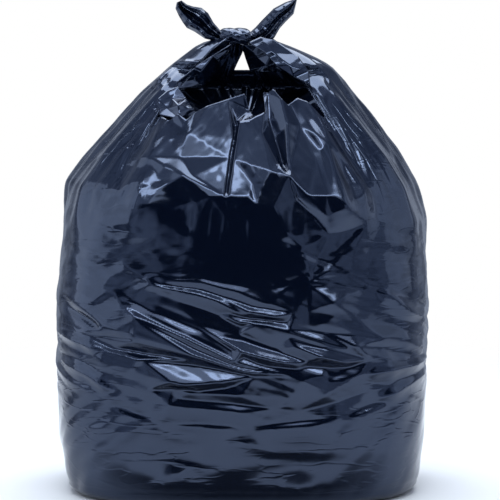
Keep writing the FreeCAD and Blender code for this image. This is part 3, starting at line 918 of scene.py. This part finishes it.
def pairs(points, rows, columns):
    """The points that have another one so many rows and columns on, and those other ones."""
    near = points[:len(points) - rows]
    far = np.roll(points, -columns, axis=1) if columns else points
    return near, far[rows:]


def spring(points, push, weight, rows, columns, length, stiffness):
    """Adds the pushes that bring such pairs of points to their length, and counts them."""
    near, far = pairs(points, rows, columns)
    gap = far - near
    now = np.sqrt((gap * gap).sum(-1)) + NO_LENGTH
    move = gap * (0.5 * stiffness * (now - length) / now)[..., None]
    count = len(near)
    push[:count] += move
    push[rows:] -= np.roll(move, columns, axis=1)
    weight[:count] += 1
    weight[rows:] += 1


def lengths(points, rows, columns):
    """How far apart such pairs of points are."""
    near, far = pairs(points, rows, columns)
    return np.linalg.norm(far - near, axis=-1)


def bend(field):
    """How far each point of a field is from the mean of its neighbours."""
    off = np.zeros_like(field)
    mean = np.roll(field, 1, 1) + np.roll(field, -1, 1)
    off[1:-1] = 0.25 * (mean[1:-1] + field[2:] + field[:-2]) - field[1:-1]
    return off


def settle(plain, around, up, steps, start, hold, stiff, free):
    """Moves the points so that the film keeps its own lengths, and so crumples."""
    points = plain + start
    both = 0.5 * (around + up)
    wanted = (
        (0, 1, lengths(plain, 0, 1) * (1 + around), 1.0),
        (1, 0, lengths(plain, 1, 0) * (1 + up[:-1]), 1.0),
        (1, 1, lengths(plain, 1, 1) * (1 + both[:-1]), SLANT_STIFFNESS),
        (1, -1, lengths(plain, 1, -1) * (1 + both[:-1]), SLANT_STIFFNESS),
    )
    for _ in range(steps):
        push = np.zeros_like(points)
        weight = np.zeros(points.shape[:2], np.float32)
        for rows, columns, length, stiffness in wanted:
            spring(points, push, weight, rows, columns, length, stiffness)
        points += OVERSHOOT * push / weight[..., None]
        moved = points - plain
        moved -= stiff * bend(bend(moved))
        moved *= free * (1 - hold)
        points = plain + moved
        points[..., 2] = np.maximum(points[..., 2], 0)
    return points - plain


def finer(field, shape):
    """A field on a coarse grid, spread over a finer one."""
    rows, columns = field.shape[:2]
    r = np.linspace(0, rows - 1, shape[0])
    c = np.arange(shape[1]) * columns / shape[1]
    i, j = np.minimum(r.astype(int), rows - 2), c.astype(int)
    u, v = (r - i)[:, None, None], (c - j)[None, :, None]
    beside = (j + 1) % columns
    low = field[i][:, j] * (1 - v) + field[i][:, beside] * v
    high = field[i + 1][:, j] * (1 - v) + field[i + 1][:, beside] * v
    return (low * (1 - u) + high * u).astype(np.float32)


def settled_film():
    """The film's points after it has settled, level by level, from a coarse grid to a fine one."""
    rng = np.random.default_rng(SEED)
    direction, plain = film_layout()
    around, up = slack(direction, plain, rng)
    free = np.ones(plain.shape[:2], np.float32)
    free[:len(FOOT_FREE)] = np.array(FOOT_FREE)[:, None]
    free *= smooth((KNOT_HEIGHT * HELD_SHARE - plain[..., 2]) / HELD_FADE).astype(np.float32)
    outward = plain / np.maximum(np.linalg.norm(plain * (1, 1, 0), axis=-1, keepdims=True), 1 * MM)
    outward[..., 2] = 0
    moved = np.zeros_like(plain)
    for stride, steps, stiff, hold in LEVELS:
        ripple = hills(rng, plain.shape[:2], RIPPLE_HILLS[0] // stride, RIPPLE_HILLS[1] // stride)
        seeded = outward * (RIPPLE_DEPTH * stride * ripple)[..., None]
        part = slice(None, None, stride)
        start = (moved + seeded * free[..., None])[part, part]
        done = settle(
            plain[part, part],
            around[part, part],
            up[part, part],
            steps,
            start.astype(np.float32),
            hold,
            stiff,
            free[part, part][..., None],
        )
        moved = finer(done, plain.shape[:2])
    return plain + moved


def mesh_object(name, vertices, faces):
    """A smooth-shaded piece from its points and faces."""
    mesh = bpy.data.meshes.new(name)
    mesh.from_pydata([tuple(v) for v in vertices], [], faces)
    mesh.shade_smooth()
    piece = bpy.data.objects.new(name, mesh)
    bpy.context.scene.collection.objects.link(piece)
    return piece


def leaf_object(name, front, back):
    """A closed piece between a front and a back grid of points, joined along their edges."""
    rows, columns, _ = front.shape
    count = rows * columns
    index = np.arange(count).reshape(rows, columns)
    cells = np.stack((index[:-1, :-1], index[:-1, 1:], index[1:, 1:], index[1:, :-1]), axis=-1)
    faces = cells.reshape(-1, 4).tolist()
    faces += (cells.reshape(-1, 4)[:, ::-1] + count).tolist()
    edge = list(index[0]) + list(index[1:, -1]) + list(index[-1, -2::-1]) + list(index[-2:0:-1, 0])
    for a, b in zip(edge, edge[1:] + edge[:1]):
        faces.append((int(b), int(a), int(a) + count, int(b) + count))
    vertices = np.concatenate((front.reshape(-1, 3), back.reshape(-1, 3))) + MIDDLE
    return mesh_object(name, vertices, faces)


def along_line(corners, t):
    """Points at shares of the way along a line of corners, in millimetres."""
    corners = np.array(corners, float)
    steps = np.linalg.norm(np.diff(corners, axis=0), axis=1)
    at = np.concatenate(([0], np.cumsum(steps))) / steps.sum()
    return np.stack([np.interp(t, at, c) for c in corners.T], axis=-1)


def ear(name, top, bottom, folds, seed):
    """A gathered ear of film: folds run from the knot to the tip between its two edges."""
    s = np.linspace(0, 1, EAR_ROWS)
    t = np.linspace(0, 1, EAR_COLUMNS)
    upper = along_line(top, s)[:, None]
    lower = along_line(bottom, s)[:, None]
    flat = lower + (upper - lower) * t[None, :, None]
    folds = np.array(folds, float)
    near = np.interp(t, folds[:, 0], folds[:, 1])[None]
    far = np.interp(t, folds[:, 0], folds[:, 2])[None]
    shift = near + (far - near) * s[:, None]
    x, z = flat[..., 0] * MM, flat[..., 1] * MM
    small = facets(x, z, tilt=45, length=26 * MM, width=9 * MM, seed=seed)
    small = small + 0.5 * facets(x, z, tilt=-30, length=14 * MM, width=6 * MM, seed=seed + 3)
    # thin at both edges and at the tip
    shut = np.minimum(1, 6 * np.minimum(t, 1 - t))[None] * np.minimum(1, 8 * (1 - s) + 0.1)[:, None]
    front = (shift + EAR_CRUMPLE * small) * MM
    deep = EAR_THICKNESS * shut
    front_points = np.stack((x, -front - deep * 0.5, z), axis=-1)
    back_points = np.stack((x, -front * 0.6 + deep + EAR_EDGE, z), axis=-1)
    return leaf_object(name, front_points, back_points)


def fold_vertices(outline, inner, parts, seed):
    """A crumpled leaf of film: its corners joined by flat facets, each cut in small parts."""
    corners = np.array(outline + inner, float) * MM
    count = len(outline)
    edges = [(i, (i + 1) % count) for i in range(count)]
    flat = [Vector(corner[:2]) for corner in corners]
    _, _, triangles, kept, _, _ = delaunay_2d_cdt(flat, edges, [], 1, SAME_CORNER)
    vertices = []
    faces = []
    for triangle in triangles:
        a, b, c = (corners[kept[i][0]] for i in triangle)
        number = {}
        for i in range(parts + 1):
            for j in range(parts + 1 - i):
                number[i, j] = len(vertices)
                vertices.append(a + (b - a) * i / parts + (c - a) * j / parts)
        for i in range(parts):
            for j in range(parts - i):
                faces.append((number[i, j], number[i + 1, j], number[i, j + 1]))
                if i + j < parts - 1:
                    faces.append((number[i + 1, j], number[i + 1, j + 1], number[i, j + 1]))
    vertices = np.array(vertices)
    across, up, back = vertices.T
    small = facets(across, up, tilt=40, length=22 * MM, width=9 * MM, seed=seed)
    depth = back - LEAF_CRUMPLE * small * MM
    return np.stack((across, depth, up), axis=-1) + MIDDLE, faces


def mouth_folds():
    """The folds of the bands that hang into the mouth, each a closed thin leaf."""
    vertices = []
    faces = []
    for seed, (outline, inner) in enumerate(MOUTH_FOLDS, start=41):
        leaf, cells = fold_vertices(outline, inner, LEAF_PARTS, seed)
        first = len(vertices)
        vertices += leaf.tolist()
        faces += [tuple(first + i for i in cell) for cell in cells]
    piece = mesh_object("mouth_folds", vertices, faces)
    mesh = bmesh.new()
    mesh.from_mesh(piece.data)
    bmesh.ops.remove_doubles(mesh, verts=mesh.verts, dist=0.05 * MM)
    bmesh.ops.recalc_face_normals(mesh, faces=mesh.faces)
    bmesh.ops.solidify(mesh, geom=mesh.faces[:], thickness=LEAF_WALL)
    bmesh.ops.recalc_face_normals(mesh, faces=mesh.faces)
    mesh.to_mesh(piece.data)
    mesh.free()
    piece.data.shade_smooth()
    return piece


def ring_object(name, points):
    """A closed piece from rings of points, with its two ends shut."""
    rings, around, _ = points.shape
    count = rings * around
    index = np.arange(count).reshape(rings, around)
    beside = np.roll(index, -1, axis=1)
    quads = np.stack((index[:-1], beside[:-1], beside[1:], index[1:]), axis=-1)
    faces = quads.reshape(-1, 4).tolist()
    for j in range(around):
        k = (j + 1) % around
        faces.append((count, int(index[0, k]), int(index[0, j])))
        faces.append((count + 1, int(index[-1, j]), int(index[-1, k])))
    ends = np.stack((points[0].mean(0), points[-1].mean(0)))
    return mesh_object(name, np.concatenate((points.reshape(-1, 3), ends)) + MIDDLE, faces)


def zigzag(along):
    """A folded line, down from 0.5 to -0.5 and up again over every 2 along it."""
    return np.abs(along % 2 - 1) - 0.5


def knot():
    """The tight lump of the knot, with the film's gathers winding over it."""
    # t goes along the knot from its left end to its right one, and turn goes round it
    t = np.linspace(0.02, 0.98, KNOT_RINGS)[:, None] * math.pi
    turn = np.linspace(0, 2 * math.pi, KNOT_COLUMNS, endpoint=False)[None]
    wind = 2 * turn + KNOT_WINDING * np.cos(t)
    gathers = KNOT_GATHER * zigzag(wind / math.pi)
    gathers = gathers + KNOT_FINE_GATHER * zigzag(2.5 * wind / math.pi + 0.3)
    swell = 1 + gathers + KNOT_LOPSIDED * np.sin(turn + 1.1 + 2 * np.cos(t))
    # the lump is fuller than an ellipse, and shut at both ends
    full = np.sin(t) ** 0.7 * swell
    across = -KNOT_HALF_WIDTH * np.cos(t) * np.ones_like(turn)
    points = np.stack((
        KNOT_ACROSS + across,
        KNOT_THICKNESS * np.cos(turn) * full,
        KNOT_HEIGHT + KNOT_TALLNESS * np.sin(turn) * full - KNOT_SLOPE * across,
    ), axis=-1)
    return ring_object("knot", points)


def number_node(tree, operation, first, second=None):
    """A number from one or two others, by the named operation."""
    node = tree.nodes.new("ShaderNodeMath")
    node.operation = operation
    tree.links.new(first, node.inputs[0])
    if isinstance(second, float):
        node.inputs[1].default_value = second
    elif second is not None:
        tree.links.new(second, node.inputs[1])
    return node.outputs["Value"]


def vector_node(tree, operation, place, *fixed):
    """A vector from another and from fixed ones, by the named operation."""
    node = tree.nodes.new("ShaderNodeVectorMath")
    node.operation = operation
    tree.links.new(place, node.inputs[0])
    for socket, value in zip(node.inputs[1:], fixed):
        socket.default_value = value
    return node.outputs["Vector"]


def distance_node(tree, place, middle):
    """How far a place is from a point."""
    node = tree.nodes.new("ShaderNodeVectorMath")
    node.operation = "DISTANCE"
    node.inputs[1].default_value = middle
    tree.links.new(place, node.inputs[0])
    return node.outputs["Value"]


def range_node(tree, value, start, end, low=0.0, high=1.0, soft=False):
    """Low up to the start of a range, high from its end on, and between them inside it."""
    node = tree.nodes.new("ShaderNodeMapRange")
    node.interpolation_type = "SMOOTHSTEP" if soft else "LINEAR"
    node.inputs["From Min"].default_value = start
    node.inputs["From Max"].default_value = end
    node.inputs["To Min"].default_value = low
    node.inputs["To Max"].default_value = high
    tree.links.new(value, node.inputs["Value"])
    return node.outputs["Result"]


def noise_node(tree, place, scale, detail, distortion=0.0):
    """A smooth random number from 0 to 1 at each place."""
    node = tree.nodes.new("ShaderNodeTexNoise")
    node.inputs["Scale"].default_value = scale
    node.inputs["Detail"].default_value = detail
    node.inputs["Distortion"].default_value = distortion
    tree.links.new(place, node.inputs["Vector"])
    return node.outputs["Fac"]


def colour_node(tree, share, first, second):
    """A colour from a fixed one to another, which is fixed or comes from a node."""
    node = tree.nodes.new("ShaderNodeMix")
    node.data_type = "RGBA"
    node.inputs["A"].default_value = first
    if isinstance(second, tuple):
        node.inputs["B"].default_value = second
    else:
        tree.links.new(second, node.inputs["B"])
    tree.links.new(share, node.inputs["Factor"])
    return node.outputs["Result"]


def fine_lines(tree, place, scale, width):
    """Thin raised lines where a smooth noise crosses its middle: 1 on the line and 0 off it."""
    field = noise_node(tree, place, scale, detail=2, distortion=0.2)
    apart = number_node(tree, "ABSOLUTE", number_node(tree, "SUBTRACT", field, 0.5))
    return range_node(tree, apart, 0, width, 1, 0)


def round_the_knot(tree, place):
    """A place for a texture whose marks run down from the knot: fine round it and long below."""
    ring = vector_node(tree, "NORMALIZE", vector_node(tree, "MULTIPLY", place, (1, 1, 0)))
    drop = vector_node(tree, "MULTIPLY", place, (0, 0, 0.5))
    both = tree.nodes.new("ShaderNodeVectorMath")
    both.operation = "ADD"
    tree.links.new(ring, both.inputs[0])
    tree.links.new(drop, both.inputs[1])
    return both.outputs["Vector"]


def clear_of(tree, place, middle, start, end):
    """0 up to one distance from a point, and 1 from a larger one on."""
    return range_node(tree, distance_node(tree, place, middle), start, end, 0, 1, soft=True)


def close_to(tree, place, middle, start, end):
    """1 up to one distance from a point, and 0 from a larger one on."""
    return range_node(tree, distance_node(tree, place, middle), start, end, 1, 0, soft=True)


def film_wrinkles(tree, place):
    """The height of the finest wrinkles, and of the gathers round the knot. The bands beside the
    mouth, the panel and the belly have none, because their creases are in the mesh."""
    stretch = tree.nodes.new("ShaderNodeMapping")
    stretch.inputs["Rotation"].default_value = (0, 0.3, 0)
    stretch.inputs["Scale"].default_value = (0.45, 0.8, 2.0)
    tree.links.new(place, stretch.inputs["Vector"])
    drawn_out = stretch.outputs["Vector"]
    coarse = fine_lines(tree, drawn_out, scale=9, width=WRINKLE_WIDTH)
    fine = fine_lines(tree, drawn_out, scale=21, width=WRINKLE_WIDTH)
    gathers = fine_lines(tree, round_the_knot(tree, place), scale=13, width=GATHER_WIDTH)
    gathers = number_node(tree, "MULTIPLY", gathers, close_to(tree, place, *KNOT_GATHERED))
    gathers = number_node(tree, "MULTIPLY", gathers, GATHER_STRENGTH)
    height = number_node(tree, "ADD", coarse, fine)
    height = number_node(tree, "ADD", height, gathers)
    for smooth_part in (BANDS_SMOOTH, PANEL_SMOOTH, BELLY_SMOOTH):
        height = number_node(tree, "MULTIPLY", height, clear_of(tree, place, *smooth_part))
    return height


def film_material():
    """Thin glossy black-blue film, uneven in its gloss, with the finest wrinkles as a bump."""
    material = bpy.data.materials.new("black_blue_film")
    material.use_nodes = True
    tree = material.node_tree
    shader = tree.nodes["Principled BSDF"]
    shader.inputs["Base Color"].default_value = FILM_COLOUR
    shader.inputs["IOR"].default_value = 1.5
    shader.inputs["Specular IOR Level"].default_value = 0.95
    shader.inputs["Specular Tint"].default_value = FILM_MIRROR_TINT
    place = tree.nodes.new("ShaderNodeTexCoord").outputs["Object"]
    haze = noise_node(tree, place, HAZE_SCALE, detail=6)
    rough = range_node(tree, haze, 0.35, 0.75, GLOSSIEST, HAZIEST)
    tree.links.new(rough, shader.inputs["Roughness"])
    crinkle = tree.nodes.new("ShaderNodeBump")
    crinkle.inputs["Strength"].default_value = 1.0
    crinkle.inputs["Distance"].default_value = WRINKLE_HEIGHT
    tree.links.new(film_wrinkles(tree, place), crinkle.inputs["Height"])
    tree.links.new(crinkle.outputs["Normal"], shader.inputs["Normal"])
    return material


def camera():
    """The photograph's view: from far in front, a little from above."""
    distance = 4.0
    elevation = math.radians(6)
    a_pixel = 1.509 * MM
    frame_pixels = 500
    aim_height = 0.359
    aim = Vector((6.5 * a_pixel, 0, aim_height))
    data = bpy.data.cameras.new("camera")
    data.sensor_width = 36
    data.lens = data.sensor_width * distance / (frame_pixels * a_pixel)
    eye = bpy.data.objects.new("camera", data)
    eye.location = aim + Vector((0, -math.cos(elevation), math.sin(elevation))) * distance
    eye.rotation_euler = (math.pi / 2 - elevation, 0, 0)
    bpy.context.scene.collection.objects.link(eye)
    bpy.context.scene.camera = eye


def softbox(name, place, aim, size, radiance):
    """A soft light of a given brightness, whatever its size, turned to a point."""
    data = bpy.data.lights.new(name, "AREA")
    data.shape = "RECTANGLE"
    data.size, data.size_y = size
    data.energy = radiance * math.pi * size[0] * size[1]
    data.color = LIGHT_TINT
    lamp = bpy.data.objects.new(name, data)
    lamp.location = place
    lamp.rotation_euler = (Vector(aim) - Vector(place)).to_track_quat("-Z", "Y").to_euler()
    bpy.context.scene.collection.objects.link(lamp)


def dark_part(tree, place, scale, shift):
    """How far a direction is from the middle of a dark part in front, stretched to its shape."""
    moved = vector_node(tree, "MULTIPLY_ADD", place, scale, shift)
    return distance_node(tree, moved, (0, -1, 0))


def world():
    """White where the camera sees it. The bag mirrors an uneven pale room with two dark parts
    in front: a narrow one straight ahead and a wide flat one above the floor."""
    scene = bpy.context.scene
    room = bpy.data.worlds.new("studio")
    room.use_nodes = True
    scene.world = room
    tree = room.node_tree
    place = tree.nodes.new("ShaderNodeTexCoord").outputs["Generated"]
    patch = dark_part(tree, place, scale=(4.0, 1, 2.2), shift=(0, 0, -0.16))
    band = dark_part(tree, place, scale=(1.5, 1, 5.0), shift=(0, 0, -1.75))
    edge = range_node(tree, number_node(tree, "MINIMUM", patch, band), 0.85, 1.10, soft=True)
    clutter = range_node(tree, noise_node(tree, place, scale=2.4, detail=2), 0.35, 0.65)
    walls = colour_node(tree, clutter, ROOM_SHADOW, ROOM_WALL)
    room_colour = colour_node(tree, edge, ROOM_DARK, walls)
    mirrored = tree.nodes["Background"]
    tree.links.new(room_colour, mirrored.inputs["Color"])
    seen = tree.nodes.new("ShaderNodeBackground")
    seen.inputs["Color"].default_value = (1, 1, 1, 1)
    path = tree.nodes.new("ShaderNodeLightPath")
    pick = tree.nodes.new("ShaderNodeMixShader")
    tree.links.new(path.outputs["Is Camera Ray"], pick.inputs[0])
    tree.links.new(mirrored.outputs[0], pick.inputs[1])
    tree.links.new(seen.outputs[0], pick.inputs[2])
    tree.links.new(pick.outputs[0], tree.nodes["World Output"].inputs["Surface"])


def floor():
    """A pale floor that fades away a short way from the bag, with a shadow painted on it as a dark
    strip in front of the bag.
    """
    mesh = bpy.data.meshes.new("floor")
    span = 3
    corners = [(-span, -span, 0), (span, -span, 0), (span, span, 0), (-span, span, 0)]
    mesh.from_pydata(corners, [], [(0, 1, 2, 3)])
    ground = bpy.data.objects.new("floor", mesh)
    bpy.context.scene.collection.objects.link(ground)
    paint = bpy.data.materials.new("pale_floor_with_painted_shadow")
    paint.use_nodes = True
    tree = paint.node_tree
    shader = tree.nodes["Principled BSDF"]
    shader.inputs["Roughness"].default_value = 0.8
    place = tree.nodes.new("ShaderNodeTexCoord").outputs["Object"]
    # painted shadow: the floor's colour is darker in an oval strip in front of the bag, so that the
    # bag's lower faces mirror shade
    oval = vector_node(tree, "MULTIPLY", place, (0.25, 1, 1))
    strip = distance_node(tree, oval, (0, -0.25, 0))
    shade = range_node(tree, strip, 0.03, 0.12, PAINTED_SHADOW_SHADE, FLOOR_SHADE, soft=True)
    tree.links.new(shade, shader.inputs["Base Color"])
    fade = close_to(tree, place, (0, 0, 0), 0.7, 1.6)
    tree.links.new(fade, shader.inputs["Alpha"])
    mesh.materials.append(paint)


def studio():
    """The stage: what the bag stands on, mirrors and is lit by."""
    bpy.context.scene.view_settings.view_transform = "Standard"
    world()
    floor()
    for name, place, aim, size, radiance in SOFTBOXES:
        softbox(name, place, aim, size, radiance)


def main():
    """Makes the bag's pieces, gives each the film and joins it to the root body, hides the imported
    bag, then sets the stage.
    """
    pieces = [
        ring_object("bag_film", settled_film()),
        mouth_folds(),
        knot(),
        ear("left_ear", LEFT_EAR_TOP, LEFT_EAR_BOTTOM, LEFT_EAR_FOLDS, 31),
        ear("right_ear", RIGHT_EAR_TOP, RIGHT_EAR_BOTTOM, RIGHT_EAR_FOLDS, 32),
    ]
    material = film_material()
    for piece in pieces:
        piece.data.materials.append(material)
        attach(piece, "root")
        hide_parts("tied_bag")
    camera()
    studio()


main()
